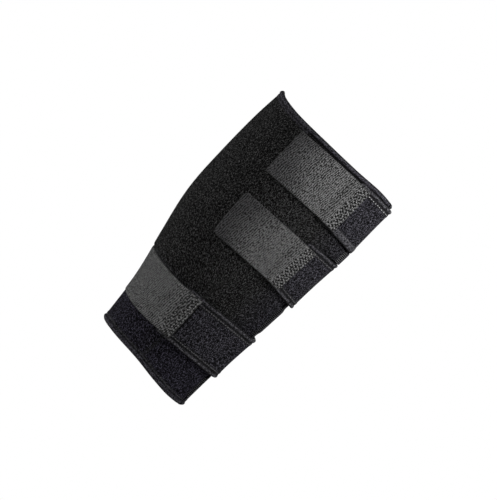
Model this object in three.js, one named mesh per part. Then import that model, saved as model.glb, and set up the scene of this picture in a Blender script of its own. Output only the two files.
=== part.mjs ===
import * as THREE from 'three';

// Calf support bandage as it sits on a leg, in millimetres.
// Z runs up the leg to the knee, X points to the shin, and the straps end on the -Y side.
// The origin is the middle of the leg hollow.
// A turn is an angle round the leg in degrees: 0 at the shin, 90 on the straps' side, 180 at the calf
// and 360 at the shin again, one layer further out.
// A depth is a distance outward from the leg, and a height is a distance along Z.

// Leg hollow
const leg_depth = 121;
const leg_width = 113;
const wrap_height = 230;

// Cloth and clearances
const cloth = 2.6;
const strap_cloth = 2.0;
const tab_cloth = 1.3;
const hem_rise = 0.3;
const gap = 0.3;

// Hems
const edge_hem_height = 5.2;
const strap_hem_height = 3.6;
const front_hem_width = 4;

// Wrap, as turns
const flap_free_turn = -50;
const panel_climb_start = 290;
const panel_climb_end = 307;
const front_edge_turn = 373;

// Straps: where they are sewn on, how they come down off the panel, and their rounded hidden ends
const strap_root_turn = 318;
const strap_descent = 13;
const strap_end_radius = 6;
const tab_overlap = 14;
const tab_descent = 7;

// A strap's width narrows from the shin to its end. Its reach runs from the shin line to its end.
const upper_strap = {
  name: 'upper',
  shin_width: 47.5,
  end_width: 46.5,
  reach: 58.5,
  tab_width: 43.6,
  tab_length: 76.5,
  tab_radius: 1.5,
};
const middle_strap = {
  name: 'middle',
  shin_width: 51,
  end_width: 46.5,
  reach: 50.5,
  tab_width: 42,
  tab_length: 78.5,
  tab_radius: 4,
};
const lower_strap = {
  name: 'lower',
  shin_width: 44.5,
  end_width: 43,
  reach: 81,
  tab_width: 40.2,
  tab_length: 84,
  tab_radius: 4,
};

// Mesh fineness
const turn_step = 6;
const strap_step = 5.5;
const panel_rows = 13;

// Sections of the hollow, bottom to top. Height is a share of half the wrap height. Shin and calf are shares
// of the leg depth in front of and behind the origin, and side is a share of half the leg width. Egg narrows
// the shin side.
const sections = [
  { height: -1.06, shin: 0.424, calf: 0.256, side: 0.645, egg: 0.10 },
  { height: -0.70, shin: 0.427, calf: 0.318, side: 0.700, egg: 0.12 },
  { height: -0.35, shin: 0.430, calf: 0.424, side: 0.806, egg: 0.16 },
  { height: 0.00, shin: 0.430, calf: 0.515, side: 0.920, egg: 0.19 },
  { height: 0.35, shin: 0.431, calf: 0.551, side: 0.990, egg: 0.20 },
  { height: 0.68, shin: 0.427, calf: 0.569, side: 1.000, egg: 0.19 },
  { height: 1.00, shin: 0.413, calf: 0.566, side: 0.975, egg: 0.16 },
];

// Top and bottom edges of the wrap round one turn, as shares of half the wrap height
const edges = [
  { turn: 0, top: 0.961, bottom: -1.043 },
  { turn: 36, top: 0.976, bottom: -1.057 },
  { turn: 67, top: 0.963, bottom: -1.048 },
  { turn: 95, top: 0.949, bottom: -1.031 },
  { turn: 130, top: 0.936, bottom: -1.026 },
  { turn: 158, top: 0.941, bottom: -1.026 },
  { turn: 180, top: 0.958, bottom: -1.026 },
  { turn: 205, top: 0.932, bottom: -1.027 },
  { turn: 260, top: 0.905, bottom: -1.031 },
  { turn: 320, top: 0.930, bottom: -1.038 },
  { turn: 360, top: 0.961, bottom: -1.043 },
];

// Front seam between flap and panel: the turn that it stands at, up the wrap
const seam = [
  { height: -1.06, turn: 93 },
  { height: -0.37, turn: 82.8 },
  { height: -0.07, turn: 75.3 },
  { height: 0.43, turn: 69 },
  { height: 1.00, turn: 64 },
];

// Middle lines of the straps and their tabs round the leg, as shares of half the wrap height
const strap_lines = [
  { turn: 310, upper: 0.690, middle: 0.170, lower: -0.545 },
  { turn: 360, upper: 0.731, middle: 0.187, lower: -0.558 },
  { turn: 410, upper: 0.748, middle: 0.193, lower: -0.577 },
  { turn: 445, upper: 0.730, middle: 0.171, lower: -0.606 },
  { turn: 477, upper: 0.701, middle: 0.144, lower: -0.632 },
  { turn: 508, upper: 0.690, middle: 0.128, lower: -0.630 },
  { turn: 550, upper: 0.690, middle: 0.120, lower: -0.604 },
];

// Depth of each layer: cloth lies on the hems of the layer below with the clearance between them
const layer = cloth + hem_rise + gap;
const tab_lift = strap_cloth + hem_rise + gap;

const half_height = wrap_height / 2;

// Smooth value of one column of a table at a place along another column
function along(table, key, at, column) {
  const last = table.length - 2;
  let i = 0;
  while (i < last && at > table[i + 1][key]) i += 1;
  const slope = (j) => {
    const before = table[Math.max(j - 1, 0)];
    const after = table[Math.min(j + 1, table.length - 1)];
    return (after[column] - before[column]) / (after[key] - before[key]);
  };
  const low = table[i];
  const high = table[i + 1];
  const span = high[key] - low[key];
  const t = THREE.MathUtils.clamp((at - low[key]) / span, 0, 1);
  const blend = t * t * (3 - 2 * t);
  const leave = slope(i) * span * t * (1 - t) * (1 - t);
  const arrive = slope(i + 1) * span * t * t * (t - 1);
  return low[column] + (high[column] - low[column]) * blend + leave + arrive;
}

function section(height) {
  const share = height / half_height;
  const shin = along(sections, 'height', share, 'shin') * leg_depth;
  const calf = along(sections, 'height', share, 'calf') * leg_depth;
  return {
    middle: (shin - calf) / 2,
    depth: (shin + calf) / 2,
    width: along(sections, 'height', share, 'side') * leg_width / 2,
    egg: along(sections, 'height', share, 'egg'),
  };
}

// Way round the leg at a turn: the change in X and Y for each radian
function heading(s, angle) {
  return new THREE.Vector2(
    -s.depth * Math.sin(angle),
    -s.width * (Math.cos(angle) - s.egg * Math.cos(2 * angle)),
  );
}

function point(turn, height, depth) {
  const s = section(height);
  const angle = THREE.MathUtils.degToRad(turn);
  const way = heading(s, angle).normalize();
  const x = s.middle + s.depth * Math.cos(angle);
  const y = -s.width * Math.sin(angle) * (1 - s.egg * Math.cos(angle));
  return new THREE.Vector3(x - way.y * depth, y + way.x * depth, height);
}

function length_of_degree(turn, height, depth) {
  const reach = heading(section(height), THREE.MathUtils.degToRad(turn)).length();
  return THREE.MathUtils.degToRad(reach + depth);
}

// How far a line of one turn leans round the leg for each millimetre up it
function lean_of_turn(turn, height) {
  const up = point(turn, height + 1, layer).sub(point(turn, height - 1, layer));
  const round = point(turn + 1, height, layer).sub(point(turn - 1, height, layer)).normalize();
  return up.dot(round) / 2;
}

// Turn that lies a distance further round the leg, found in steps of one degree
function turn_after(turn, height, depth, distance) {
  let at = turn;
  let left = distance;
  while (left > length_of_degree(at, height, depth)) {
    left -= length_of_degree(at, height, depth);
    at += 1;
  }
  return at + left / length_of_degree(at, height, depth);
}

function edge(turn, side) {
  const once = ((turn % 360) + 360) % 360;
  return along(edges, 'turn', once, side) * half_height;
}

function seam_turn(height) {
  return along(seam, 'height', height / half_height, 'turn');
}

// Evenly spaced values from start to end, no further apart than the step
function spaced(start, end, step) {
  const count = Math.max(1, Math.ceil((end - start) / step - 1e-6));
  return Array.from({ length: count + 1 }, (_, i) => start + (end - start) * i / count);
}

const cloth_black = { color: 0x1b1b1d, roughness: 0.95, metalness: 0 };
const strap_black = { color: 0x1d1d20, roughness: 0.92, metalness: 0 };
const hem_black = { color: 0x28282b, roughness: 0.85, metalness: 0 };
const tab_grey = { color: 0x4a4b4e, roughness: 0.8, metalness: 0 };

const bandage = new THREE.Group();

// Closed wall of cloth. The place function gives, for each pair of values, the turn, the height and the
// depths of the inner and outer faces.
function add_sheet(name, look, across, up, place) {
  const positions = [];
  const faces = [];
  const rows = up.length;
  const outer = (i, j) => 2 * (i * rows + j);
  const inner = (i, j) => outer(i, j) + 1;
  for (const a of across) {
    for (const b of up) {
      const spot = place(a, b);
      positions.push(...point(spot.turn, spot.height, spot.outer).toArray());
      positions.push(...point(spot.turn, spot.height, spot.inner).toArray());
    }
  }
  const quad = (a, b, c, d) => faces.push(a, b, c, a, c, d);
  const last_column = across.length - 1;
  const last_row = rows - 1;
  for (let i = 0; i < last_column; i += 1) {
    for (let j = 0; j < last_row; j += 1) {
      quad(outer(i, j), outer(i, j + 1), outer(i + 1, j + 1), outer(i + 1, j));
      quad(inner(i, j), inner(i + 1, j), inner(i + 1, j + 1), inner(i, j + 1));
    }
    quad(outer(i, 0), outer(i + 1, 0), inner(i + 1, 0), inner(i, 0));
    quad(outer(i, last_row), inner(i, last_row), inner(i + 1, last_row), outer(i + 1, last_row));
  }
  for (let j = 0; j < last_row; j += 1) {
    quad(outer(0, j), inner(0, j), inner(0, j + 1), outer(0, j + 1));
    quad(outer(last_column, j), outer(last_column, j + 1), inner(last_column, j + 1), inner(last_column, j));
  }
  const geometry = new THREE.BufferGeometry();
  geometry.setAttribute('position', new THREE.Float32BufferAttribute(positions, 3));
  geometry.setIndex(faces);
  geometry.computeVertexNormals();
  const mesh = new THREE.Mesh(geometry, new THREE.MeshStandardMaterial(look));
  mesh.name = name;
  bandage.add(mesh);
}

// Depth of the wrap's inner face: against the leg, then climbing over the flap
function wrap_depth(turn) {
  return layer * THREE.MathUtils.smoothstep(turn, panel_climb_start, panel_climb_end);
}

function wrap_low(turn) {
  return edge(turn, 'bottom') + edge_hem_height + gap;
}

function wrap_high(turn) {
  return edge(turn, 'top') - edge_hem_height - gap;
}

// Flap and panel meet edge to edge at the front seam
const row_shares = spaced(0, 1, 1 / panel_rows);

function add_wrap_sheet(name, start_turn, end_turn) {
  const columns = Math.ceil((end_turn(0) - start_turn(0)) / turn_step);
  add_sheet(name, cloth_black, spaced(0, 1, 1 / columns), row_shares, (a, b) => {
    const rough_height = THREE.MathUtils.lerp(-half_height, half_height, b);
    const turn = THREE.MathUtils.lerp(start_turn(rough_height), end_turn(rough_height), a);
    const inner = wrap_depth(turn);
    const height = THREE.MathUtils.lerp(wrap_low(turn), wrap_high(turn), b);
    return { turn, height, inner, outer: inner + cloth };
  });
}

function width_as_turn(turn, height, width) {
  return width / length_of_degree(turn, height, layer);
}

function front_hem_start(height) {
  return front_edge_turn - width_as_turn(front_edge_turn, height, front_hem_width);
}

const half_seam = (height) => width_as_turn(seam_turn(height), height, gap) / 2;

add_wrap_sheet('shin_flap', () => flap_free_turn, (height) => seam_turn(height) - half_seam(height));
add_wrap_sheet(
  'calf_panel',
  (height) => seam_turn(height) + half_seam(height),
  (height) => front_hem_start(height) - width_as_turn(front_edge_turn, height, gap),
);

// Section of a hem from the cloth to its folded edge: place across the hem, and how much of its thickness
// is left on the inner and outer faces
const hem_section = [
  { across: 0, inner: 0, outer: 0.12 },
  { across: 0.2, inner: 0, outer: 0 },
  { across: 0.8, inner: 0, outer: 0 },
  { across: 1, inner: 0.25, outer: 0.25 },
];

function hem_depths(fold, base, thickness) {
  const full = thickness + hem_rise;
  return { inner: base + fold.inner * full, outer: base + (1 - fold.outer) * full };
}

// Hems round the top and bottom edges, from the flap's free edge to the panel's front edge
for (const side of ['bottom', 'top']) {
  const into_cloth = side === 'top' ? -1 : 1;
  const turns = spaced(flap_free_turn, front_edge_turn, turn_step);
  const folds = side === 'top' ? hem_section : [...hem_section].reverse();
  add_sheet(`${side}_hem`, hem_black, turns, folds, (turn, fold) => ({
    turn,
    height: edge(turn, side) + into_cloth * edge_hem_height * (1 - fold.across),
    ...hem_depths(fold, wrap_depth(turn), cloth),
  }));
}

// Hem down the panel's front edge, between the top and bottom hems
add_sheet('front_hem', hem_black, hem_section, row_shares, (fold, b) => {
  const rough_height = THREE.MathUtils.lerp(-half_height, half_height, b);
  const turn = THREE.MathUtils.lerp(front_hem_start(rough_height), front_edge_turn, fold.across);
  const height = THREE.MathUtils.lerp(wrap_low(turn), wrap_high(turn), b);
  return { turn, height, ...hem_depths(fold, layer, cloth) };
});

// Straps lie over the panel's front edge, come down onto the flap, and end in the tabs
for (const strap of [upper_strap, middle_strap, lower_strap]) {
  const line = (turn) => along(strap_lines, 'turn', turn, strap.name) * half_height;
  const degree = (turn) => length_of_degree(turn, line(turn), layer);
  const slope = (turn) => (line(turn + 1) - line(turn - 1)) / 2 / degree(turn);
  const shin_height = line(360);
  const end_turn = turn_after(360, shin_height, layer, strap.reach);
  const tab_start = turn_after(360, shin_height, layer, strap.reach - tab_overlap);
  const tab_end = turn_after(tab_start, line(tab_start), layer, strap.tab_length);

  // A strap's cross lines stand square to its middle line
  const square = (turn, rise) => {
    const tilt = Math.atan(slope(turn));
    const shift = Math.sin(tilt) + Math.cos(tilt) * lean_of_turn(turn, line(turn));
    return { turn: turn - rise * shift / degree(turn), height: line(turn) + rise * Math.cos(tilt) };
  };

  const descent_start = front_edge_turn + width_as_turn(front_edge_turn, shin_height, 1);
  const descent_end = descent_start + width_as_turn(front_edge_turn, shin_height, strap_descent);
  const strap_depth = (turn) => (
    layer * (2 - THREE.MathUtils.smoothstep(turn, descent_start, descent_end))
  );

  // Half the width of a rounded end, at a distance from that end
  const rounded = (half_width, radius, distance) => {
    const inside = Math.max(radius - distance, 0);
    return half_width - radius + Math.sqrt(radius * radius - inside * inside);
  };
  const narrowing = (turn) => THREE.MathUtils.clamp((turn - 360) / (end_turn - 360), 0, 1);
  const half_width = (turn) => {
    const width = THREE.MathUtils.lerp(strap.shin_width, strap.end_width, narrowing(turn));
    return rounded(width / 2, strap_end_radius, Math.max((end_turn - turn) * degree(end_turn), 0));
  };

  const corner_start = end_turn - strap_end_radius / degree(end_turn);
  const strap_turns = [
    ...spaced(strap_root_turn, corner_start, strap_step),
    ...spaced(corner_start, end_turn, strap_end_radius / 3 / degree(end_turn)).slice(1),
  ];
  add_sheet(`${strap.name}_strap`, strap_black, strap_turns, spaced(-1, 1, 0.5), (turn, b) => {
    const inner = strap_depth(turn);
    const rise = b * (half_width(turn) - strap_hem_height - gap);
    return { ...square(turn, rise), inner, outer: inner + strap_cloth };
  });

  for (const side of [1, -1]) {
    const name = `${strap.name}_strap_${side > 0 ? 'top' : 'low'}_hem`;
    const folds = side > 0 ? hem_section : [...hem_section].reverse();
    add_sheet(name, hem_black, strap_turns, folds, (turn, fold) => {
      const rise = side * (half_width(turn) - strap_hem_height * (1 - fold.across));
      return { ...square(turn, rise), ...hem_depths(fold, strap_depth(turn), strap_cloth) };
    });
  }

  // The tab starts on the strap's end and comes down onto the flap and panel
  const drop_start = end_turn + 1 / degree(end_turn);
  const drop_end = drop_start + tab_descent / degree(end_turn);
  const tab_depth = (turn) => (
    layer + tab_lift * (1 - THREE.MathUtils.smoothstep(turn, drop_start, drop_end))
  );
  const tab_degree = degree(tab_end);
  const tab_corner = tab_end - strap.tab_radius / tab_degree;
  const tab_turns = [
    ...spaced(tab_start, drop_start, strap_step),
    ...spaced(drop_start, drop_end, tab_descent / 4 / tab_degree).slice(1),
    ...spaced(drop_end, tab_corner, strap_step).slice(1),
    ...spaced(tab_corner, tab_end, strap.tab_radius / 4 / tab_degree).slice(1),
  ];
  add_sheet(`${strap.name}_tab`, tab_grey, tab_turns, spaced(-1, 1, 0.5), (turn, b) => {
    const inner = tab_depth(turn);
    const rise = b * rounded(strap.tab_width / 2, strap.tab_radius, (tab_end - turn) * tab_degree);
    return { ...square(turn, rise), inner, outer: inner + tab_cloth };
  });
}

export default bandage;
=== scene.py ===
import math
import random

import bmesh
import bpy
import numpy as np
from mathutils import Matrix, Vector


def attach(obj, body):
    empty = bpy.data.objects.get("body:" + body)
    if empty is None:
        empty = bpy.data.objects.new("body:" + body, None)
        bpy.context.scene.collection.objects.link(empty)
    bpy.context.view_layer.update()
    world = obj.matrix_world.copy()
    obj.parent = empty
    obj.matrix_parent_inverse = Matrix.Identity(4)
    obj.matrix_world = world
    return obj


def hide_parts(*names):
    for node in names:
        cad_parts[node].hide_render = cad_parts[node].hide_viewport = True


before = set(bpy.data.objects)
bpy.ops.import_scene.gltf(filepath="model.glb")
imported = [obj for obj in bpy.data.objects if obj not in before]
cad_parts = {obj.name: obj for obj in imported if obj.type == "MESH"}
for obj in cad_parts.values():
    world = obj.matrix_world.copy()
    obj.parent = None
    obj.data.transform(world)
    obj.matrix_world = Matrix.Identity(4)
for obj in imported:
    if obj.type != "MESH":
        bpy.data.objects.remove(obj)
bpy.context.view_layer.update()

# Calf support bandage, closed as it is worn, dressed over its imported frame. Sizes are in millimetres up
# to the point function, which gives metres. Z runs up the hollow, X points to the shin side, and the
# straps end on the -Y side. A turn is an angle round the hollow in degrees: 0 at the shin side, 90 where
# the straps end, 180 at the calf side and 360 at the shin side again, one layer further out. A depth is a
# distance outward from the hollow.

MM = 0.001

# Hollow
leg_depth = 121
leg_width = 113
wrap_height = 230
half_height = wrap_height / 2

# Cloth and clearances
cloth = 2.6
strap_cloth = 2.0
tab_cloth = 1.3
hem_rise = 0.3
gap = 0.3
layer = cloth + hem_rise + gap
tab_lift = strap_cloth + hem_rise + gap

# Wrap, as turns
flap_free_turn = -50
panel_climb_start = 290
panel_climb_end = 307
front_edge_turn = 373
under_front_edge = front_edge_turn - 360

# Straps
strap_root_turn = 318
strap_descent = 13
tab_overlap = 14
tab_descent = 7

# Sections of the hollow, bottom to top: height as a share of half the wrap height, shin and calf as
# shares of the hollow's depth, side as a share of half its width, and how far the shin side narrows
sections = (
    (-1.06, 0.439, 0.265, 0.645, 0.10),
    (-0.70, 0.435, 0.323, 0.700, 0.12),
    (-0.35, 0.436, 0.424, 0.806, 0.16),
    (0.00, 0.436, 0.517, 0.920, 0.19),
    (0.35, 0.437, 0.553, 0.990, 0.20),
    (0.68, 0.432, 0.568, 1.000, 0.19),
    (1.00, 0.414, 0.564, 0.975, 0.16),
)

# Top and bottom edges round one turn, as shares of half the wrap height
edges = (
    (0, 0.970, -1.053),
    (36, 0.985, -1.067),
    (67, 0.970, -1.058),
    (95, 0.956, -1.042),
    (130, 0.938, -1.043),
    (158, 0.942, -1.041),
    (180, 0.955, -1.037),
    (205, 0.911, -1.034),
    (260, 0.895, -1.034),
    (320, 0.932, -1.043),
    (360, 0.970, -1.053),
)

# Turn of the front seam, up the wrap
seam = ((-1.06, 93), (-0.37, 82.8), (-0.07, 75.3), (0.43, 69), (1.00, 64))

# Middle lines of the upper, middle and lower strap by turn, as shares of half the wrap height
strap_lines = (
    (310, 0.690, 0.170, -0.545),
    (360, 0.731, 0.187, -0.558),
    (410, 0.748, 0.193, -0.577),
    (445, 0.730, 0.171, -0.606),
    (477, 0.701, 0.144, -0.632),
    (508, 0.690, 0.128, -0.630),
    (550, 0.690, 0.120, -0.604),
)

# Unevenness of the stretched cloth
wave_size = 0.3


def along(table, at, column):
    """Smooth values of a table's column at places along its first column."""
    table = np.array(table, dtype=float)
    keys, values = table[:, 0], table[:, column]
    row = np.arange(len(table))
    after, before = np.minimum(row + 1, len(table) - 1), np.maximum(row - 1, 0)
    slopes = (values[after] - values[before]) / (keys[after] - keys[before])
    at = np.asarray(at, dtype=float)
    i = np.clip(np.searchsorted(keys, at) - 1, 0, len(table) - 2)
    span = keys[i + 1] - keys[i]
    t = np.clip((at - keys[i]) / span, 0, 1)
    blend = t * t * (3 - 2 * t)
    leave = slopes[i] * span * t * (1 - t) ** 2
    arrive = slopes[i + 1] * span * t * t * (t - 1)
    return values[i] + (values[i + 1] - values[i]) * blend + leave + arrive


def smooth_step(at, start, end):
    """0 up to the start and 1 from the end on, with a smooth rise between."""
    t = np.clip((at - start) / (end - start), 0, 1)
    return t * t * (3 - 2 * t)


def window(at, start, end, soft):
    """1 between start and end, falling smoothly to 0 over the soft distance outside them."""
    return smooth_step(at, start - soft, start) * (1 - smooth_step(at, end, end + soft))


def hump(at, middle, reach):
    """1 at the middle, falling smoothly to nothing over about twice the reach."""
    return np.exp(-(((np.asarray(at) - middle) / reach) ** 2))


def mix(a, b, share):
    return a + (b - a) * share


def section(height):
    """Middle, half depth and half width of the hollow, and how far its shin side narrows."""
    share = np.asarray(height, dtype=float) / half_height
    shin = along(sections, share, 1) * leg_depth
    calf = along(sections, share, 2) * leg_depth
    width = along(sections, share, 3) * leg_width / 2
    return (shin - calf) / 2, (shin + calf) / 2, width, along(sections, share, 4)


def heading(turn, height):
    """Way round the hollow: the change in X and Y for each radian."""
    _, depth, width, egg = section(height)
    angle = np.radians(turn)
    return -depth * np.sin(angle), -width * (np.cos(angle) - egg * np.cos(2 * angle))


def point(turn, height, depth):
    """Points of the wrap in metres."""
    turn, height, depth = np.broadcast_arrays(*(np.asarray(v, float) for v in (turn, height, depth)))
    middle, reach, width, egg = section(height)
    angle = np.radians(turn)
    way_x, way_y = heading(turn, height)
    length = np.hypot(way_x, way_y)
    x = middle + reach * np.cos(angle) - way_y / length * depth
    y = -width * np.sin(angle) * (1 - egg * np.cos(angle)) + way_x / length * depth
    return np.stack([x, y, height], axis=-1) * MM


def outward(turn, height):
    """Direction away from the hollow."""
    way = point(turn, height, 1) - point(turn, height, 0)
    return way / np.linalg.norm(way, axis=-1, keepdims=True)


def length_of_degree(turn, height, depth):
    return np.radians(np.hypot(*heading(turn, height)) + depth)


def turn_after(turn, height, depth, distance):
    """Turn that lies a distance further round the hollow, found in steps of one degree."""
    at, left = turn, distance
    while left > length_of_degree(at, height, depth):
        left -= length_of_degree(at, height, depth)
        at += 1
    return at + left / length_of_degree(at, height, depth)


def edge(turn, side):
    return along(edges, np.mod(turn, 360), 1 if side == "top" else 2) * half_height


def seam_turn(height):
    return along(seam, np.asarray(height) / half_height, 1)


def wrap_depth(turn):
    """Depth of the wrap's inner face: on the hollow, then climbing over the flap."""
    return layer * smooth_step(turn, panel_climb_start, panel_climb_end)


def slow_waves(turn, height):
    """Gentle unevenness of stretched cloth, the same for every layer at one place."""
    angle = np.radians(turn)
    long_wave = np.sin(3 * angle + height / 31 + 0.7) + np.sin(5 * angle - height / 23 + 2.1)
    short_wave = np.sin(9 * angle + height / 17 + 4.0) + np.sin(7 * angle - height / 9.5 + 1.3)
    return wave_size * (0.35 * long_wave + 0.15 * short_wave)


def spaced(start, end, step):
    """Evenly spaced values from start to end, no further apart than the step."""
    return np.linspace(start, end, max(1, math.ceil((end - start) / step - 1e-6)) + 1)


def joined(*runs):
    """Stretches of values set end to end."""
    return np.concatenate([runs[0]] + [run[1:] for run in runs[1:]])


class Wire:
    """A value inside a finish. Sums written with it add Math nodes."""

    def __init__(self, finish, socket):
        self.finish = finish
        self.socket = socket

    def maths(self, operation, *values):
        return self.finish.node("ShaderNodeMath", {"operation": operation}, dict(enumerate(values)))

    def __add__(self, other):
        return self.maths("ADD", self, other)

    def __sub__(self, other):
        return self.maths("SUBTRACT", self, other)

    def __rsub__(self, other):
        return self.maths("SUBTRACT", other, self)

    def __mul__(self, other):
        return self.maths("MULTIPLY", self, other)

    __radd__ = __add__
    __rmul__ = __mul__

    def sine(self):
        return self.maths("SINE", self)

    def clipped(self):
        return self.finish.node("ShaderNodeClamp", {}, {"Value": self})

    def part(self, name):
        """One coordinate of a vector."""
        return self.finish.node("ShaderNodeSeparateXYZ", {}, {"Vector": self}, name)


class Finish:
    """A material whose patterns are measured in metres, on a piece's flat cloth or on the piece itself."""

    def __init__(self, name, **uniform):
        self.material = bpy.data.materials.new(name)
        self.material.use_nodes = True
        self.tree = self.material.node_tree
        self.shader = self.tree.nodes["Principled BSDF"]
        for socket, value in uniform.items():
            self.shader.inputs[socket.replace("_", " ").replace("ior", "IOR")].default_value = value

    def node(self, kind, settings, sockets, out=0):
        made = self.tree.nodes.new(kind)
        for setting, value in settings.items():
            setattr(made, setting, value)
        for key, value in sockets.items():
            socket = made.inputs[key]
            if isinstance(value, Wire):
                self.tree.links.new(value.socket, socket)
            else:
                socket.default_value = value
        return Wire(self, made.outputs[out])

    def flat(self):
        return self.node("ShaderNodeUVMap", {"uv_map": "flat"}, {})

    def place(self):
        return self.node("ShaderNodeTexCoord", {}, {}, "Object")

    def mark(self, name):
        """A value kept on the piece's own points."""
        return self.node("ShaderNodeAttribute", {"attribute_name": name}, {}, "Fac")

    def turned(self, place, degrees, stretch):
        """Flat places turned and stretched, for grain and fibres."""
        sockets = {"Vector": place, "Rotation": (0, 0, math.radians(degrees)), "Scale": stretch}
        return self.node("ShaderNodeMapping", {}, sockets)

    def noise(self, place, size, detail=2.0, roughness=0.5, distortion=0.0):
        """Noise whose lumps are about the given size in millimetres."""
        sockets = {
            "Vector": place,
            "Scale": 1 / (size * MM),
            "Detail": detail,
            "Roughness": roughness,
            "Distortion": distortion,
        }
        return self.node("ShaderNodeTexNoise", {"noise_dimensions": "2D"}, sockets)

    def wave(self, way, pitch):
        """Sine of a pitch in millimetres."""
        return (way * (2 * math.pi / (pitch * MM))).sine()

    def blend(self, share, low, high, how="MIX"):
        """Colour between two colours, or another blend of the two."""
        settings = {"data_type": "RGBA", "blend_type": how}
        return self.node("ShaderNodeMix", settings, {"Factor": share, 6: low, 7: high}, 2)

    def paint(self, socket, value):
        self.tree.links.new(value.socket, self.shader.inputs[socket])

    def relief(self, height, distance, strength=1.0):
        """Raises the surface by a height of 0 to 1 times a distance in millimetres."""
        sockets = {"Height": height, "Distance": distance * MM, "Strength": strength}
        self.paint("Normal", self.node("ShaderNodeBump", {}, sockets))


def grey(value, blue=1.0):
    """A near-neutral colour, with its blue a little stronger where blue is over 1."""
    return (value, value * (0.75 + 0.25 / blue), value * blue, 1)


# Brushed loop cloth: its tufts, its fibres in two ways, and its slow mottling and patches
tuft_size = 0.95
fibre_size = 0.76
fibre_stretch = (1, 0.4, 1)
fibre_ways = (35, -48)
mottle_size = 11
patch_size = 38

# Where the cloth starts to turn bluer, in metres: below this height, and past this X
ankle_start = -0.045
shin_start = 0.030


def loop_cloth(name, dark, light, fleck, blue, evenly):
    """Brushed loop cloth: a matt black pile with short bright fibres lying every way. It turns a little
    bluer towards the bottom and the shin side, or evenly, and has painted shade where it is drawn in."""
    finish = Finish(
        name,
        Roughness=0.95,
        Specular_ior_Level=0.04,
        Sheen_Weight=0.004,
        Sheen_Roughness=0.6,
        Sheen_Tint=grey(0.55, 1.1),
    )
    flat = finish.flat()
    place = finish.place()

    def fibres(degrees):
        grain = finish.noise(finish.turned(flat, degrees, fibre_stretch), fibre_size, 0, 0.5, 0.5)
        return ((grain - 0.56) * 10).clipped()

    pile = ((finish.noise(flat, tuft_size, 1, 0.5, 0.8) - 0.41) * 5.8).clipped()
    bright = (fibres(fibre_ways[0]) + fibres(fibre_ways[1])).clipped()
    shade = (pile * (finish.noise(flat, mottle_size, 2) * 0.9 + 0.45)).clipped()
    to_ankle = ((ankle_start - place.part("Z")) * 25).clipped()
    to_shin = ((place.part("X") - shin_start) * 40).clipped()
    patch = finish.noise(flat, patch_size, 1)
    bluish = ((to_ankle + to_shin * 0.6) * (patch + 0.55) + evenly).clipped()
    base = finish.blend(shade, grey(dark), grey(light))
    cover = finish.blend(bright * pile, base, grey(fleck))
    tint = finish.blend(bluish, grey(1), grey(1, blue))
    # Painted shade where the cloth is drawn in beside a tab's sewn end
    tint = finish.blend(finish.mark("pulled_and_shaded"), tint, grey(0.08))
    finish.paint("Base Color", finish.blend(1.0, cover, tint, "MULTIPLY"))
    finish.relief(pile * 0.7 + bright * 0.3, 0.6)
    return finish.material


# Knit of the lining
knit_column_pitch = 1.1
knit_row_pitch = 0.8


def knit_lining(name, tone):
    """Smooth jersey on the inner side: fine columns of knit."""
    finish = Finish(name, Roughness=0.8, Specular_ior_Level=0.2, Sheen_Weight=0.08)
    flat = finish.flat()
    columns = finish.wave(flat.part("X"), knit_column_pitch)
    rows = finish.wave(flat.part("Y"), knit_row_pitch)
    knit = (columns * rows * 0.5 + 0.5).clipped()
    shade = (knit * 0.6 + finish.noise(flat, 9, 3) * 0.4).clipped()
    finish.paint("Base Color", finish.blend(shade, grey(tone * 0.6), grey(tone * 1.5)))
    finish.relief(knit, 0.2, 0.6)
    return finish.material


# Slanting grain and tufts of the hems
hem_grain_pitch = 2.1
hem_tuft_size = 1.05


def hem_cloth(name, dark, light, painted_lighting, blue):
    """Folded hem: the same cloth, flatter, with a painted highlight on its roll and painted shade at its
    rim, in its groove, at its inner edge and underneath.
    """
    finish = Finish(
        name,
        Roughness=0.8,
        Specular_ior_Level=0.08,
        Sheen_Weight=0.01,
        Sheen_Roughness=0.45,
        Sheen_Tint=grey(0.5, blue),
    )
    flat = finish.flat()
    grain = finish.wave(flat.part("X") + flat.part("Y") * 0.6, hem_grain_pitch) * 0.5 + 0.5
    tufts = finish.noise(flat, hem_tuft_size, 1, 0.5, 0.8)
    speckle = (grain * 0.25 + (tufts - 0.46) * 7).clipped()
    cloth_colour = finish.blend(speckle, grey(dark, blue), grey(light, blue))
    # Painted highlight on the roll
    roll_highlight = finish.blend(speckle, grey(light * 0.15, blue), grey(painted_lighting, blue))
    base = finish.blend(finish.mark("roll"), cloth_colour, roll_highlight)
    # Painted shade at the rim, in the groove, at the inner edge and underneath, and painted shadow beside the
    # upper tab
    finish.paint("Base Color", finish.blend(finish.mark("line"), base, grey(dark * 0.5, blue)))
    finish.relief(speckle, 0.4, 0.8)
    return finish.material


# Tape that the tabs are cut from: its ribs, and the lean and size of its threads and loops
rib_pitch = 1.75
rib_slant = 0.16
rib_height = 0.11
rib_wobble = 0.35
rib_wobble_pitch = 11.0
rib_wobble_drift = 8
thread_lean = 9
thread_size = 0.66
thread_stretch = (1, 0.34, 1)
loop_size = 0.6
loop_stretch = (1, 0.75, 1)


def rib_phase(run, rise, wobble_phase):
    """Place along the ribs' repeat, in radians, for a run and rise in millimetres."""
    drift = run / rib_wobble_drift
    wobble = rib_wobble * np.sin(2 * math.pi * rise / rib_wobble_pitch + drift + wobble_phase)
    return 2 * math.pi * (run + rib_slant * rise + wobble) / rib_pitch


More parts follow.
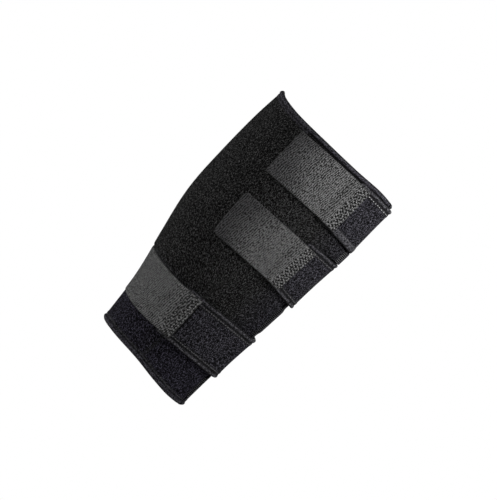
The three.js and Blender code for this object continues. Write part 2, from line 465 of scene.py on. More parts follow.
def tape_weave(name, dark, light, edge_shade):
    """Grey tape: close ribs across it, each broken into short threads, with needle holes at the sewn end,
    painted shade along its edges and painted shade that deepens towards its free end."""
    finish = Finish(name, Specular_ior_Level=0.3, Sheen_Weight=0.0)
    flat = finish.flat()
    threads = finish.noise(finish.turned(flat, thread_lean, thread_stretch), thread_size, 0, 0.5, 0.15)
    loops = finish.noise(finish.turned(flat, thread_lean, loop_stretch), loop_size, 0, 0.5, 0.2)
    patches = finish.noise(flat, 9, 3)
    holes = finish.mark("hole")
    weave = (threads - 0.5) * 5.0 + (loops - 0.5) * 2.2 + (finish.mark("rib") - 0.5) * 2.0
    shade = (weave + patches * 0.9 + 0.08).clipped()
    base = finish.blend(shade, grey(dark), grey(light))
    # Painted shade towards the free end
    painted_lighting = finish.blend(shade, grey(dark * 0.4), grey(light * 0.26, 1.06))
    cover = finish.blend(finish.mark("free_end_shade"), base, painted_lighting)
    # Painted shade along the tab's edges
    cover = finish.blend(finish.mark("edge"), cover, grey(edge_shade))
    finish.paint("Base Color", finish.blend(holes, cover, grey(0.001)))
    finish.paint("Roughness", (0.85 - shade * 0.3 + holes).clipped())
    finish.relief(weave * 0.5 + 0.5, 0.3, 0.9)
    return finish.material


def sewing_thread(name, tone, gloss=0.5):
    """Twisted polyester thread, a little glossy."""
    finish = Finish(name, Roughness=0.5, Specular_ior_Level=gloss)
    twist = finish.noise(finish.place(), 0.6, 2)
    finish.paint("Base Color", finish.blend(twist, grey(tone * 0.6), grey(tone * 1.4)))
    return finish.material


wrap_finish = loop_cloth("wrap_loop_cloth", dark=0.0002, light=0.0095, fleck=0.078, blue=1.30, evenly=0)
strap_finish = loop_cloth("strap_loop_cloth", dark=0.0003, light=0.0120, fleck=0.112, blue=1.16, evenly=0.9)
lining_finish = knit_lining("wrap_lining", 0.012)
# The hems' last colour is the painted highlight on their rolls
edge_hem_finish = hem_cloth("edge_hem_cloth", dark=0.0006, light=0.042, painted_lighting=0.080, blue=1.16)
strap_hem_finish = hem_cloth("strap_hem_cloth", dark=0.0006, light=0.038, painted_lighting=0.120, blue=1.09)
tape_finish = tape_weave("tab_tape", dark=0.005, light=0.160, edge_shade=0.03)
dark_thread_finish = sewing_thread("dark_thread", 0.022)
front_seam_finish = sewing_thread("front_seam_thread", 0.016, gloss=0.1)
tab_thread_finish = sewing_thread("tab_thread", 0.34)
seam_thread_finish = sewing_thread("seam_thread", 0.12)
light_thread_finish = sewing_thread("light_thread", 0.42)


def flat_measure(grid):
    """How far each point of a laid grid lies along and up the cloth, in metres, from its middle column."""
    columns, rows = grid.shape[:2]
    steps_along = np.linalg.norm(np.diff(grid, axis=0), axis=2)
    steps_up = np.linalg.norm(np.diff(grid, axis=1), axis=2)
    along_cloth = np.vstack([np.zeros((1, rows)), np.cumsum(steps_along, axis=0)])
    up_cloth = np.hstack([np.zeros((columns, 1)), np.cumsum(steps_up, axis=1)])
    along_cloth -= along_cloth[columns // 2]
    up_cloth -= up_cloth[:, rows // 2][:, None]
    return np.stack([along_cloth, up_cloth], axis=-1)


def set_flat(made, flat, across, up):
    """Writes the flat measure as the piece's UV map."""
    layer_flat = made.loops.layers.uv.new("flat")
    for face in made.faces:
        for loop in face.loops:
            i = loop.vert.index
            loop[layer_flat].uv = flat[across[i], up[i]]


def set_mark(made, name, values):
    """Keeps a value on each of the piece's points."""
    layer_mark = made.verts.layers.float.new(name)
    for vert, value in zip(made.verts, values):
        vert[layer_mark] = value


def grid_places(made, columns, rows):
    """Column, row and height of each vertex of a unit grid."""
    made.verts.index_update()
    spots = np.array([v.co[:] for v in made.verts])
    across = np.rint((spots[:, 0] + 0.5) * columns).astype(int)
    up = np.rint((spots[:, 1] + 0.5) * rows).astype(int)
    return across, up, spots[:, 2]


def move_to(made, points):
    for vert, spot in zip(made.verts, points):
        vert.co = spot


def laid_wall(runs, rises, place, marks=None):
    """A closed wall of cloth laid round the hollow. The place function gives points for runs and rises,
    with inside 0 on the outer face and 1 on the inner. The inner face takes the second material. Marks
    are functions of run and rise."""
    columns, rows = len(runs) - 1, len(rises) - 1
    made = bmesh.new()
    bmesh.ops.create_grid(made, x_segments=columns, y_segments=rows, size=0.5)
    grown = bmesh.ops.extrude_face_region(made, geom=made.faces[:])["geom"]
    for item in grown:
        if isinstance(item, bmesh.types.BMFace):
            item.material_index = 1
    inner_points = [item for item in grown if isinstance(item, bmesh.types.BMVert)]
    bmesh.ops.translate(made, verts=inner_points, vec=(0, 0, 1))
    across, up, inside = grid_places(made, columns, rows)
    run_grid, rise_grid = np.meshgrid(runs, rises, indexing="ij")
    set_flat(made, flat_measure(place(run_grid, rise_grid, 0 * run_grid)), across, up)
    for name, mark in (marks or {}).items():
        set_mark(made, name, mark(runs[across], rises[up]))
    move_to(made, place(runs[across], rises[up], inside))
    bmesh.ops.recalc_face_normals(made, faces=made.faces[:])
    return made


def laid_fold(runs, hem, place, shadowed=None):
    """A folded strip: a hem's closed profile carried along the runs and capped. The optional last function
    says where along it something lies against its inner part, for painted shadow there."""
    profile = hem.profile()
    columns, rows = len(runs) - 1, len(profile)
    made = bmesh.new()
    bmesh.ops.create_grid(made, x_segments=columns, y_segments=rows, size=0.5)
    across, up, _ = grid_places(made, columns, rows)
    closed = np.array(profile + profile[:1])
    run_grid, row_grid = np.meshgrid(runs, np.arange(rows + 1), indexing="ij")
    grid = place(run_grid, closed[row_grid][..., 0], closed[row_grid][..., 1])
    set_flat(made, flat_measure(grid), across, up)
    # Painted highlight on the roll and along the stitches
    set_mark(made, "roll", hem.painted_lighting(*closed[up].T))
    # Painted shade along the hem, and painted shadow where something lies against it
    lines = hem.dark(*closed[up].T)
    if shadowed:
        inner = smooth_step(closed[up][:, 0], hem.roll + 0.7, hem.groove)
        lines = np.maximum(lines, shadowed(runs[across]) * inner)
    set_mark(made, "line", lines)
    move_to(made, grid[across, up])
    bmesh.ops.remove_doubles(made, verts=made.verts[:], dist=0.01 * MM)
    bmesh.ops.holes_fill(made, edges=[e for e in made.edges if e.is_boundary], sides=0)
    bmesh.ops.recalc_face_normals(made, faces=made.faces[:])
    return made


def stitches(ends, radius):
    """Short threads, each lying from one point to another. Ends holds both points and the outward way."""
    made = bmesh.new()
    for start, end, out in ends:
        start, end, out = Vector(start), Vector(end), Vector(out)
        way = end - start
        side = way.cross(out).normalized() * radius * MM
        lift = side.cross(way).normalized() * radius * MM
        place = Matrix.Translation((start + end) / 2) @ Matrix((side, lift, way / 2)).transposed().to_4x4()
        bmesh.ops.create_uvsphere(made, u_segments=6, v_segments=5, radius=1, matrix=place)
    bmesh.ops.recalc_face_normals(made, faces=made.faces[:])
    return made


def piece(name, made, finishes, replaces=()):
    """Makes a mesh a piece of the bandage that rides on the wrap."""
    mesh = bpy.data.meshes.new(name)
    made.to_mesh(mesh)
    made.free()
    mesh.shade_smooth()
    mesh.set_sharp_from_angle(angle=math.radians(55))
    for finish in finishes:
        mesh.materials.append(finish)
    made_piece = bpy.data.objects.new(name, mesh)
    bpy.context.collection.objects.link(made_piece)
    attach(made_piece, "root")
    if replaces:
        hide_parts(*replaces)
    return made_piece


# Spacing of a hem's profile: its step on top, and the points round its fold and under it, as shares of
# the fold's rounding
profile_step = 0.34
fold_shares = (0.16, 0.04)
under_shares = (0.12, 0.4, 0.8, 1.3, 2.0)


class Hem:
    """A folded hem: a plump roll at the fold, a groove beside it, then a line of stitches. Distances go in
    from the folded edge, and out is the share of the hem's thickness."""

    def __init__(self, width, roll, rounding, groove, sewn, plump, inward, line):
        self.width = width
        self.roll = roll
        self.rounding = rounding
        self.groove = groove
        self.sewn = sewn
        self.plump = plump
        self.inward = inward
        self.line = line

    def round_off(self, across):
        """Quarter round of the fold, from 0 at the edge to 1 where it is full."""
        left = 1 - np.clip(across / self.rounding, 0, 1)
        return np.sqrt(1 - left**2)

    def top(self, across):
        raised = self.plump * hump(across, self.roll, self.roll * 0.75)
        pulled_and_shaded = 0.17 * hump(across, self.groove, 0.45) + 0.06 * hump(across, self.sewn, 0.5)
        lip = 0.14 * hump(across, self.width, 0.3)
        full = 0.97 + raised - pulled_and_shaded - lip
        return 0.5 + (full - 0.5) * self.round_off(across)

    def under(self, across):
        full = -self.inward * hump(across, self.roll, self.roll * 0.75)
        return 0.5 + (full - 0.5) * self.round_off(across)

    def profile(self):
        """Closed outline of the folded hem, from its inner edge over the top, round the fold and back."""
        outer = tuple(np.linspace(self.width, profile_step, round(self.width / profile_step)))
        over = outer + tuple(share * self.rounding for share in fold_shares) + (0,)
        back = tuple(share * self.rounding for share in under_shares) + (self.width,)
        outline = [(across, self.top(across)) for across in over]
        outline += [(across, self.under(across)) for across in back]
        return [(float(across), float(out)) for across, out in outline]

    def painted_lighting(self, across, out):
        """Painted highlight: on the roll and along the stitches."""
        light = hump(across, self.roll, self.roll * 0.6) + 0.35 * hump(across, self.sewn, 0.7)
        return np.where(out > 0.5, np.minimum(light, 1), 0)

    def dark(self, across, out):
        """Painted shade: at the rim, in the groove and at the inner edge, and all underneath."""
        pulled_and_shaded = hump(across, self.groove, 0.55) + hump(across, self.width, 0.5)
        rim = hump(across, 0, 0.6)
        return np.where(out > 0.45, np.minimum(self.line * pulled_and_shaded + 0.9 * rim, 1), 0.8)


# Each hem's line sets how dark its painted shade is in the groove and at the inner edge
strap_hem = Hem(6.8, roll=1.5, rounding=1.1, groove=3.8, sewn=5.3, plump=0.22, inward=0, line=0.6)
soft_hem = Hem(6.8, roll=3.6, rounding=1.5, groove=6.9, sewn=5.3, plump=0.12, inward=0, line=0.3)
edge_hem = Hem(6.8, roll=2.2, rounding=2.0, groove=3.9, sewn=5.3, plump=0.25, inward=0.3, line=0.45)
front_hem = Hem(4.0, roll=1.0, rounding=0.8, groove=2.0, sewn=2.8, plump=0.05, inward=0, line=0.3)

# Laps of the cloth under its hems
hem_lap = 1
front_lap = 0.8

# Stitches along the hems, and how far a thread's middle lies above the cloth
stitch_pitch = 2.6
stitch_length = 1.4
stitch_radius = 0.24
thread_rise = 0.1


def pucker(run, across, out, hem):
    """How the sewing pulls the hem in between its stitches."""
    near = hump(across, hem.sewn, 1.1) * (out > 0.5)
    return 0.10 * near * np.cos(2 * math.pi * run / stitch_pitch)


def row_of_stitches(length, place, pitch=stitch_pitch, reach=stitch_length):
    """Ends of stitches one after another along a run. The place function gives a point and its outward
    way at a run."""
    ends = []
    for k in range(int(length / pitch)):
        at = (k + 0.5) * pitch
        start, out = place(at - reach / 2)
        end, _ = place(at + reach / 2)
        ends.append((start, end, out))
    return ends


# Slots between the straps, as heights, where the panel's front edge gapes away from the flap
slot_gape = 3.0
upper_slot = (47.7, 59.8)
middle_slot = (-34, -12)
middle_slot_share = 0.3

# How far the flap bridges up to the panel's front edge
flap_bridge = 2.3


def in_slots(height):
    return window(height, *upper_slot, 0.6) + middle_slot_share * window(height, *middle_slot, 5)


def gape(turn, height):
    """How far the panel stands off at its front edge."""
    return slot_gape * in_slots(height) * window(turn, front_edge_turn - 21, front_edge_turn + 4, 16)


def bridge(turn, height):
    """How far the flap stands off where the panel's front edge lies over it."""
    edge_turn = under_front_edge + 0.5
    to_edge = smooth_step(turn, under_front_edge - 2, edge_turn)
    to_slot = smooth_step(turn, under_front_edge - 21, under_front_edge - 7)
    past_edge = 1 - smooth_step(turn, edge_turn, under_front_edge + 21)
    past_slot = 1 - smooth_step(turn, under_front_edge + 2, under_front_edge + 33)
    return flap_bridge * to_edge * past_edge + slot_gape * in_slots(height) * to_slot * past_slot


def wrap_relief(turn, height):
    return slow_waves(turn, height) + gape(turn, height) + bridge(turn, height)


def cloth_edges(turn):
    """Heights between which the cloth lies, lapped under the bottom and top hems."""
    return edge(turn, "bottom") + edge_hem.width - hem_lap, edge(turn, "top") - edge_hem.width + hem_lap


def wrap_place(start_turn, end_turn):
    """Place function of a wrap sheet between two turns that vary with height."""

    def place(share, rise, inside):
        rough = mix(-half_height, half_height, rise)
        turn = mix(start_turn(rough), end_turn(rough), share)
        height = mix(*cloth_edges(turn), rise)
        depth = wrap_depth(turn) + cloth * (1 - inside) + wrap_relief(turn, height) - press(turn, height)
        return point(turn, height, depth)

    return place


def free_edge(height):
    return flap_free_turn


def front_hem_start(height):
    return front_edge_turn - (front_hem.width - front_lap) / length_of_degree(front_edge_turn, height, layer)


# Points along and up the flap and the panel, and points along their hems
flap_points = (76, 112)
panel_points = (190, 180)
edge_hem_points = 640
front_hem_points = 520


def make_wrap_sheet(name, counts, start_turn, end_turn):
    """Flap or panel: one wall of cloth, lined on its inner side."""
    columns, rows = counts
    made = laid_wall(np.linspace(0, 1, columns), np.linspace(0, 1, rows), wrap_place(start_turn, end_turn))
    return piece(f"{name}_cloth", made, [wrap_finish, lining_finish], [name])


# Turns between which the upper tab lies against the top hem, which takes painted shadow there
tab_on_hem = (14, 110)


def make_edge_hem(side, way):
    """Hem along the wrap's top or bottom edge, which it leaves downward or upward, and its stitches."""
    turns = np.linspace(flap_free_turn, front_edge_turn, edge_hem_points)

    def place(turn, across, out):
        run = np.radians(turn) * leg_depth / 2
        height = edge(turn, side) + way * across
        depth = wrap_depth(turn) + out * (cloth + hem_rise) + pucker(run, across, out, edge_hem)
        return point(turn, height, depth + wrap_relief(turn, height))

    # Painted shadow on the top hem where the upper tab lies against it
    def under_tab(turn):
        return 0.9 * (side == "top") * window(turn, *tab_on_hem, 4)

    made = laid_fold(turns, edge_hem, place, under_tab)
    fold = piece(f"{side}_hem_fold", made, [edge_hem_finish], [f"{side}_hem"])

    steps = length_of_degree(turns[1:], edge(turns[1:], side), cloth) * np.diff(turns)
    lengths = np.concatenate([[0], np.cumsum(steps)])

    def on_hem(run):
        turn = np.interp(run, lengths, turns)
        height = edge(turn, side) + way * edge_hem.sewn
        depth = wrap_depth(turn) + cloth + thread_rise + wrap_relief(turn, height)
        return point(turn, height, depth), outward(turn, height)

    made = stitches(row_of_stitches(lengths[-1], on_hem), stitch_radius)
    return [fold, piece(f"{side}_hem_stitches", made, [dark_thread_finish])]


# Where the stitches of the front hem start above the bottom, and how much of the height they leave
front_stitch_start = 2
front_stitch_rest = 18


def make_front_hem():
    """Hem along the panel's front edge, and its stitches."""

    def place(share, across, out):
        turn = front_edge_turn - across / length_of_degree(front_edge_turn, share * half_height, layer)
        height = mix(*cloth_edges(turn), share / 2 + 0.5)
        depth = layer + out * (cloth + hem_rise) + wrap_relief(turn, height)
        return point(turn, height, depth + pucker(height, across, out, front_hem))

    made = laid_fold(np.linspace(-1, 1, front_hem_points), front_hem, place)
    fold = piece("front_hem_fold", made, [edge_hem_finish], ["front_hem"])

    def on_hem(run):
        height = run - half_height + front_stitch_start
        turn = front_edge_turn - front_hem.sewn / length_of_degree(front_edge_turn, height, layer)
        depth = layer + cloth + thread_rise + wrap_relief(turn, height)
        return point(turn, height, depth), outward(turn, height)

    made = stitches(row_of_stitches(wrap_height - front_stitch_rest, on_hem), stitch_radius)
    return [fold, piece("front_hem_stitches", made, [dark_thread_finish])]


# Overcast stitches over the panel's front edge where the straps leave it open, from height to height
ladder_pitch = 1.5
ladder_radius = 0.22
ladder_rise = 0.15
ladders = (
    ("slot_ladder_stitches", 48.6, 59, seam_thread_finish),
    ("middle_ladder_stitches", -40, -9, dark_thread_finish),
    ("low_ladder_stitches", -112, -92, dark_thread_finish),
)


def make_ladder(name, low, high, thread):
    """Rungs of thread, each from the panel's front edge down to the flap."""
    panel_turn, flap_turn = front_edge_turn - 1.5, front_edge_turn + 4.5
    ends = []
    for height in spaced(low, high, ladder_pitch):
        panel_depth = layer + cloth + hem_rise + ladder_rise + wrap_relief(panel_turn, height)
        flap_depth = cloth + ladder_rise + wrap_relief(flap_turn - 360, height)
        start, end = point(panel_turn, height, panel_depth), point(flap_turn, height, flap_depth)
        ends.append((start, end, outward(front_edge_turn, height)))
    return piece(name, stitches(ends, ladder_radius), [thread])


# Zigzag of the front seam, and how far from the middle of the wrap's height it ends
seam_stitch_width = 4.2
seam_stitch_pitch = 1.6
seam_stitch_radius = 0.15
seam_rise = 0.12
seam_bottom = -half_height + 1
seam_top = half_height - 11


def make_front_seam():
    """Flat seam between flap and panel: close zigzag stitches."""

    def on_seam(run, aside):
        height = seam_bottom + run
        turn = seam_turn(height) + aside / length_of_degree(seam_turn(height), height, cloth)
        return point(turn, height, cloth + seam_rise + wrap_relief(turn, height)), outward(turn, height)

    ends = []
    for k in range(int((seam_top - seam_bottom) / seam_stitch_pitch)):
        run = k * seam_stitch_pitch
        left, out = on_seam(run, -seam_stitch_width / 2)
        right, _ = on_seam(run + seam_stitch_pitch * 0.5, seam_stitch_width / 2)
        back, _ = on_seam(run + seam_stitch_pitch, -seam_stitch_width / 2)
        ends += [(left, right, out), (right, back, out)]
    return piece("front_seam_stitches", stitches(ends, seam_stitch_radius), [front_seam_finish])


def make_wrap():
    """Flap, panel and what is sewn on them."""
    flap = make_wrap_sheet("shin_flap", flap_points, free_edge, seam_turn)
    panel = make_wrap_sheet("calf_panel", panel_points, seam_turn, front_hem_start)
    trims = make_edge_hem("bottom", 1) + make_edge_hem("top", -1) + make_front_hem()
    trims += [make_ladder(*ladder) for ladder in ladders]
    return flap, panel, trims + [make_front_seam()]


def rounded(half_width, radius, distance):
    """Half the width of a rounded end, at a distance from that end."""
    inside = np.maximum(radius - distance, 0)
    return half_width - radius + np.sqrt(radius**2 - inside**2)


# Turns along which a strap's length is measured
strap_turn_step = 0.25
strap_turn_end = 600


class Strap:
    """One strap, its hems and its tab. Runs are distances along it from the shin line."""

    def __init__(self, name, column, widths, end_radius, reach, tab_size, tab_radius, tab_place, end_shade):
        self.name = name
        self.column = column
        self.shin_width, self.end_width = widths
        self.end_radius = end_radius
        self.tab_width, tab_length = tab_size
        self.tab_radius = tab_radius
        self.tab_shift, self.tab_skew = tab_place
        # How strongly the tab's free end takes painted shade
        self.tab_end_shade = end_shade
        shin_height = self.line(360)
        self.end_turn = turn_after(360, shin_height, layer, reach)
        self.tab_start_turn = turn_after(360, shin_height, layer, reach - tab_overlap)
        start_height = self.line(self.tab_start_turn)
        self.tab_end_turn = turn_after(self.tab_start_turn, start_height, layer, tab_length)
        self.turns = np.arange(strap_root_turn, strap_turn_end, strap_turn_step)
        steps = self.degree(self.turns) * strap_turn_step
        self.lengths = np.cumsum(steps) - np.interp(360, self.turns, np.cumsum(steps))
        self.root = self.run_at(strap_root_turn)
        self.end = self.run_at(self.end_turn)
        self.corner = self.end - end_radius
        self.tab_start = self.run_at(self.tab_start_turn)
        self.tab_end = self.run_at(self.tab_end_turn)
        hem_degree = length_of_degree(front_edge_turn, shin_height, layer)
        self.descent_start = front_edge_turn + 1 / hem_degree
        self.descent_end = self.descent_start + strap_descent / hem_degree

    def line(self, turn):
        return along(strap_lines, turn, self.column) * half_height

    def degree(self, turn):
        return length_of_degree(turn, self.line(turn), layer)

    def run_at(self, turn):
        return float(np.interp(turn, self.turns, self.lengths))

    def turn_at(self, run):
        return np.interp(run, self.lengths, self.turns)

    def square(self, run, rise):
        """Turn and height of a place beside the middle line, square to it."""
        turn = self.turn_at(run)
        line = self.line(turn)
        slope = (self.line(turn + 1) - self.line(turn - 1)) / 2 / self.degree(turn)
        tilt = np.arctan(slope)
        up = point(turn, line + 1, layer) - point(turn, line - 1, layer)
        round_way = point(turn + 1, line, layer) - point(turn - 1, line, layer)
        round_way /= np.linalg.norm(round_way, axis=-1, keepdims=True)
        lean = np.sum(up * round_way, axis=-1) / 2 / MM
        shift = np.sin(tilt) + np.cos(tilt) * lean
        return turn - rise * shift / self.degree(turn), line + rise * np.cos(tilt)

    def spot(self, run, rise, depth):
        turn, height = self.square(run, rise)
        return point(turn, height, depth + slow_waves(turn, height))

    def spot_and_out(self, run, rise, depth):
        return self.spot(run, rise, depth), outward(*self.square(run, rise))

    def half_width(self, run):
        share = np.clip(run / self.end, 0, 1)
        width = mix(self.shin_width, self.end_width, share)
        return rounded(width / 2, self.end_radius, np.maximum(self.end - run, 0))

    def depth(self, run):
        """Inner face: on the panel's front edge, then down onto the flap."""
        turn = self.turn_at(run)
        return layer * (2 - smooth_step(turn, self.descent_start, self.descent_end))

    def tab_half_width(self, run):
        return rounded(self.tab_width / 2, self.tab_radius, np.maximum(self.tab_end - run, 0))

    def tab_depth(self, run):
        """Inner face of the tab: on its strap, then down onto the wrap."""
        return layer + tab_lift * (1 - smooth_step(run, self.end + 1, self.end + 1 + tab_descent))

    def on_tab(self, run, rise):
        """The tab may sit a little low on its strap, and its sewn end reaches further at the low edge."""
        left = 1 - np.clip((run - self.tab_start) / (self.tab_end - self.tab_start), 0, 1)
        return run - self.tab_skew * (0.5 - rise / self.tab_width) * left, rise + self.tab_shift


upper = Strap(
    "upper", column=1, widths=(47.5, 46.5), end_radius=6, reach=58.5,
    tab_size=(43, 76.5), tab_radius=1.5, tab_place=(-0.45, 2.4), end_shade=0.85,
)
middle = Strap(
    "middle", column=2, widths=(51, 46.5), end_radius=6, reach=50.5,
    tab_size=(42, 78.5), tab_radius=4, tab_place=(-1.35, 0.8), end_shade=0.9,
)
lower = Strap(
    "lower", column=3, widths=(44.5, 44.5), end_radius=3, reach=82.5,
    tab_size=(40.2, 84), tab_radius=4, tab_place=(0, 0), end_shade=0.4,
)
straps = (upper, middle, lower)

# The lower tab lies pressed into the panel where it goes round to the back, which starts a distance past
# its strap's end. It has a soft fold near its sewn end.
tab_press = 2.3
press_start = 22
press_soft = 12
press_sides = (18.5, 22)
lower_tab_fold = 1.2


def pressed_in(rise):
    """How far the lower tab is pressed in at a distance above its middle line, less at its low edge."""
    return tab_press * (0.8 + 0.011 * rise)


def press(turn, height):
    """How far the cloth under the lower tab is pressed in."""
    rise = height - lower.line(np.clip(turn + 360, lower.turns[0], lower.turns[-1]))
    run_round = np.interp(turn + 360, lower.turns, lower.lengths)
    inside = window(run_round, lower.end + press_start, lower.tab_end + 1.5, press_soft)
    return pressed_in(rise) * inside * (1 - smooth_step(np.abs(rise), *press_sides))


def curl(run):
    """How far a strap's hems stand off at the shin side."""
    return 0.15 * hump(run, 2, 12)


# Steps along a strap's cloth, along its hems, and finer ones at its tab and its rounded end
cloth_step = 1.1
hem_step = 0.65
tab_end_step = 0.4
corner_step = 0.5
strap_rows = 40


def make_strap_cloth(strap):
    """Strap cloth between its hems, drawn in where the tab is sewn on."""
    near_tab = strap.tab_start - 3
    runs = joined(
        spaced(strap.root, near_tab, cloth_step),
        spaced(near_tab, near_tab + 6, tab_end_step),
        spaced(near_tab + 6, strap.corner, cloth_step),
        spaced(strap.corner, strap.end, corner_step),
    )

    # Where the cloth is drawn in beside the tab's sewn end; the same place takes painted shade in its colour
    def pulled_and_shaded(run, share):
        return hump(run, strap.tab_start - 0.5, 1.0)

    def place(run, share, inside):
        rise = share * (strap.half_width(run) - strap_hem.width + hem_lap)
        sink = 0.2 * (1 - share**2) + 0.35 * (1 - inside) * pulled_and_shaded(run, share)
        depth = strap.depth(run) + strap_cloth * (1 - inside) - sink
        return strap.spot(run, rise, depth + curl(run) * share**2)

    made = laid_wall(runs, np.linspace(-1, 1, strap_rows), place, {"pulled_and_shaded": pulled_and_shaded})
    finishes = [strap_finish, lining_finish]
    return piece(f"{strap.name}_strap_cloth", made, finishes, [f"{strap.name}_strap"])


# Light stitches along the upper strap's top hem
light_pitch = 3.6
light_length = 1.7
light_radius = 0.32


def make_strap_hem(strap, side):
    """Hem and stitches of a strap's top edge, where side is 1, or its low edge, where it is -1."""
    sewn_light = strap is upper and side > 0
    hem = soft_hem if strap is upper and side < 0 else strap_hem
    name = f"{strap.name}_strap_{'top' if side > 0 else 'low'}_hem"

    def place(run, across, out):
        depth = strap.depth(run) + out * (strap_cloth + hem_rise) + curl(run)
        return strap.spot(run, side * (strap.half_width(run) - across), depth + pucker(run, across, out, hem))

    runs = joined(spaced(strap.root, strap.corner, hem_step), spaced(strap.corner, strap.end, corner_step))
    fold = piece(f"{name}_fold", laid_fold(runs, hem, place), [strap_hem_finish], [name])

    def on_hem(run):
        run = run + strap.root
        depth = strap.depth(run) + strap_cloth + thread_rise + curl(run)
        return strap.spot_and_out(run, side * (strap.half_width(run) - hem.sewn), depth)

    length = strap.end - strap.root - 3
    if sewn_light:
        made = stitches(row_of_stitches(length, on_hem, light_pitch, light_length), light_radius)
    else:
        made = stitches(row_of_stitches(length, on_hem), stitch_radius)
    thread = light_thread_finish if sewn_light else seam_thread_finish
    return [fold, piece(f"{name}_stitches", made, [thread])]


# Sewing at the tab's fixed end: columns of needle holes in a zigzag
sewn_from = 1.7
sewn_columns = 4
hole_column_pitch = 2.8
hole_pitch = 2.7
hole_aside = 0.6
hole_straying = 0.4
hole_margin = 1.2
hole_rim = (0.8, 1.1)
hole_depth = 0.4
lower_hole_share = 0.75
tab_stitch_radius = 0.3
tab_thread_rise = 0.14

# Painted shade and wear of the tape in from its edges, painted shade back from its free end, and its steps
# along and rows up
edge_shade_width = 0.9
edge_rounding = 0.8
edge_worn_down = 0.4
shaded_length = 34
tab_step = 0.3
tab_rows = 111


def hole_places(strap):
    """Run and rise of each needle hole of a tab, a little uneven, with every other column half a pitch
    up."""
    half = strap.tab_width / 2 - hole_margin
    places = []
    for column in range(sewn_columns):
        lowest = -half + (column % 2) * hole_pitch / 2
        for k, rise in enumerate(spaced(lowest, lowest + 2 * half - hole_pitch / 2, hole_pitch)):
            aside = hole_aside * (-1) ** k + random.uniform(-hole_straying, hole_straying)
            run = strap.tab_start + sewn_from + column * hole_column_pitch + aside
            places.append((run, rise + random.uniform(-hole_straying, hole_straying)))
    return np.array(places)


def make_tab_sewing(strap, holes):
    """Threads from hole to hole up each column."""
    ends = []
    for low, high in zip(holes[:-1], holes[1:]):
        if high[1] <= low[1]:
            continue
        depth = strap.tab_depth(low[0]) + tab_cloth + tab_thread_rise
        start, out = strap.spot_and_out(*strap.on_tab(*mix(low, high, 0.3)), depth)
        end, _ = strap.spot_and_out(*strap.on_tab(*mix(low, high, 0.7)), depth)
        ends.append((start, end, out))
    return piece(f"{strap.name}_tab_stitches", stitches(ends, tab_stitch_radius), [tab_thread_finish])


def make_tab(strap):
    """Tape tab with its ribs and needle holes, and its sewing."""
    wobble_phase = strap.column * 1.9
    tail = strap.tab_end - strap.tab_radius
    runs = joined(spaced(strap.tab_start, tail, tab_step), spaced(tail, strap.tab_end, tab_step))
    holes = hole_places(strap)
    hole_share = lower_hole_share if strap is lower else 1

    def rib(run, share):
        return 0.5 + 0.5 * np.cos(rib_phase(run, share * strap.tab_width / 2, wobble_phase))

    def hole(run, share):
        rise = share * strap.tab_half_width(run)
        near = run < holes[:, 0].max() + 2
        marks = np.zeros(len(run))
        far = np.hypot(run[near, None] - holes[None, :, 0], rise[near, None] - holes[None, :, 1])
        marks[near] = hole_share * (1 - smooth_step(far.min(axis=1), *hole_rim))
        return marks

    def from_edge(run, share):
        """Distance in from the nearest edge of the tab."""
        from_side = (1 - np.abs(share)) * strap.tab_half_width(run)
        return np.minimum(from_side, np.minimum(run - strap.tab_start, strap.tab_end - run))

    # Painted shade along the tab's edges
    def near_edge(run, share):
        return 1 - smooth_step(from_edge(run, share), 0.0, edge_shade_width)

    # Painted shade that deepens towards the tab's free end
    def free_end_shade(run, share):
        full_shade = strap.tab_end - 6 + 5 * np.sin(share * 2.2 + strap.column)
        return strap.tab_end_shade * smooth_step(run, full_shade - shaded_length, full_shade)

    def place(run, share, inside):
        rise = share * strap.tab_half_width(run)
        depth = strap.tab_depth(run) + tab_cloth * (1 - inside)
        depth += rib_height * (1 - inside) * rib(run, share)
        if strap is lower:
            fold_run = strap.tab_start + 8 + 1.2 * np.sin(share * 2.5)
            depth -= pressed_in(rise) * window(run, strap.end + press_start, strap.tab_end + 9, press_soft)
            depth += lower_tab_fold * hump(run, fold_run, 1.7)
        pricked = hole_depth * hole(np.ravel(run), np.ravel(share)).reshape(np.shape(run))
        rounded_off = edge_worn_down * (1 - smooth_step(from_edge(run, share), 0.0, edge_rounding))
        return strap.spot(*strap.on_tab(run, rise), depth - (pricked + rounded_off) * (1 - inside))

    marks = {"rib": rib, "hole": hole, "edge": near_edge, "free_end_shade": free_end_shade}
    made = laid_wall(runs, np.linspace(-1, 1, tab_rows), place, marks)
    tab = piece(f"{strap.name}_tab_tape", made, [tape_finish, tape_finish], [f"{strap.name}_tab"])
    return tab, make_tab_sewing(strap, holes)


# Photograph's frame and camera
photo_width = 497
pixel = 0.8
sensor = 36
lens = 1000
elevation = math.radians(3)
roll_cos, roll_sin = 0.677, 0.736
aim_right, aim_up = 4.67, -1.17


def set_camera():
    up_wrap = Vector((0, math.sin(elevation), math.cos(elevation)))
    shinward = Vector((1, 0, 0))
    right = roll_cos * shinward + roll_sin * up_wrap
    up = roll_cos * up_wrap - roll_sin * shinward
    back = right.cross(up)
    distance = lens * photo_width * pixel / sensor
    place = (right * aim_right + up * aim_up + back * distance) * MM
    data = bpy.data.cameras.new("camera")
    data.sensor_fit = "HORIZONTAL"
    data.sensor_width = sensor
    data.lens = lens
    camera = bpy.data.objects.new("camera", data)
    bpy.context.collection.objects.link(camera)
    camera.matrix_world = Matrix.Translation(place) @ Matrix((right, up, back)).transposed().to_4x4()
    bpy.context.scene.camera = camera


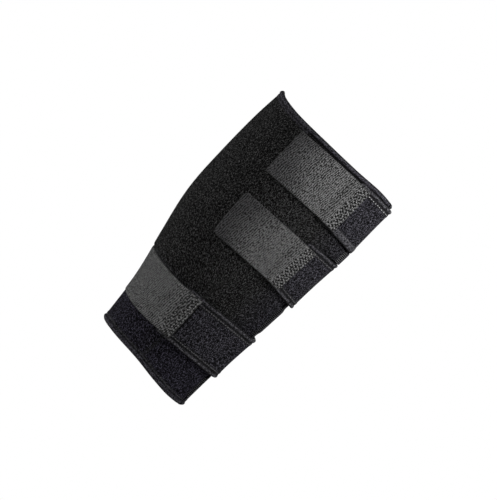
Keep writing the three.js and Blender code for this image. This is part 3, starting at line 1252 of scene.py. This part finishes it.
# Soft lights: the way that each stands off, its distance and size in metres, and its power
lights = (
    ("key_light", (0.80, -0.48, 0.95), 0.45, 0.18, 2.1),
    ("calf_light", (-1.0, -0.35, 0.3), 0.9, 0.5, 4.6),
    ("far_light", (0.15, 1.0, 0.35), 1.0, 0.5, 6.0),
    ("fill_light", (0.1, -1.0, 0.5), 1.4, 1.0, 1.2),
)
room_light = 0.09


def add_light(name, way, distance, size, power):
    """Square soft light that shines on the bandage from one side."""
    data = bpy.data.lights.new(name, "AREA")
    data.size = size
    data.energy = power
    light = bpy.data.objects.new(name, data)
    bpy.context.collection.objects.link(light)
    way = Vector(way).normalized()
    light.location = way * distance
    light.rotation_mode = "QUATERNION"
    light.rotation_quaternion = way.to_track_quat("Z", "Y")


def set_room():
    """White room that gives off only a little light."""
    world = bpy.data.worlds.new("studio")
    bpy.context.scene.world = world
    world.use_nodes = True
    tree = world.node_tree
    sky = tree.nodes["Background"]
    sky.inputs["Color"].default_value = (1, 1, 1, 1)
    seen = tree.nodes.new("ShaderNodeLightPath")
    strength = tree.nodes.new("ShaderNodeMapRange")
    strength.inputs["To Min"].default_value = room_light
    strength.inputs["To Max"].default_value = 1.0
    tree.links.new(seen.outputs["Is Camera Ray"], strength.inputs["Value"])
    tree.links.new(strength.outputs["Result"], sky.inputs["Strength"])
    bpy.context.scene.view_settings.view_transform = "Standard"


# Floor, in metres
floor_radius = 1.1
floor_height = -0.42


def make_floor():
    """Round pale floor well below the bandage, which fades to the white of the room at its rim."""
    made = bmesh.new()
    bmesh.ops.create_circle(made, cap_ends=True, segments=96, radius=floor_radius)
    bmesh.ops.translate(made, verts=made.verts[:], vec=(0, 0, floor_height))
    mesh = bpy.data.meshes.new("floor")
    made.to_mesh(mesh)
    made.free()
    finish = Finish("pale_floor", Roughness=0.9, Specular_ior_Level=0.1)
    finish.shader.inputs["Base Color"].default_value = (0.86, 0.86, 0.85, 1)
    far = finish.node("ShaderNodeVectorMath", {"operation": "LENGTH"}, {0: finish.place()}, "Value")
    share = ((far - floor_radius * 0.45) * (2 / floor_radius)).clipped()
    room = finish.node("ShaderNodeEmission", {}, {"Color": (1, 1, 1, 1), "Strength": 1.0})
    mixed = finish.node("ShaderNodeMixShader", {}, {0: share, 2: room})
    finish.tree.links.new(finish.shader.outputs[0], mixed.socket.node.inputs[1])
    finish.tree.links.new(mixed.socket, finish.tree.nodes["Material Output"].inputs["Surface"])
    mesh.materials.append(finish.material)
    floor = bpy.data.objects.new("floor", mesh)
    bpy.context.collection.objects.link(floor)


random.seed(5)
flap, panel, wrap_trims = make_wrap()
for strap in straps:
    strap_sheet = make_strap_cloth(strap)
    trims = make_strap_hem(strap, 1) + make_strap_hem(strap, -1)
    tab, sewing = make_tab(strap)

make_floor()
set_camera()
for light in lights:
    add_light(*light)
set_room()
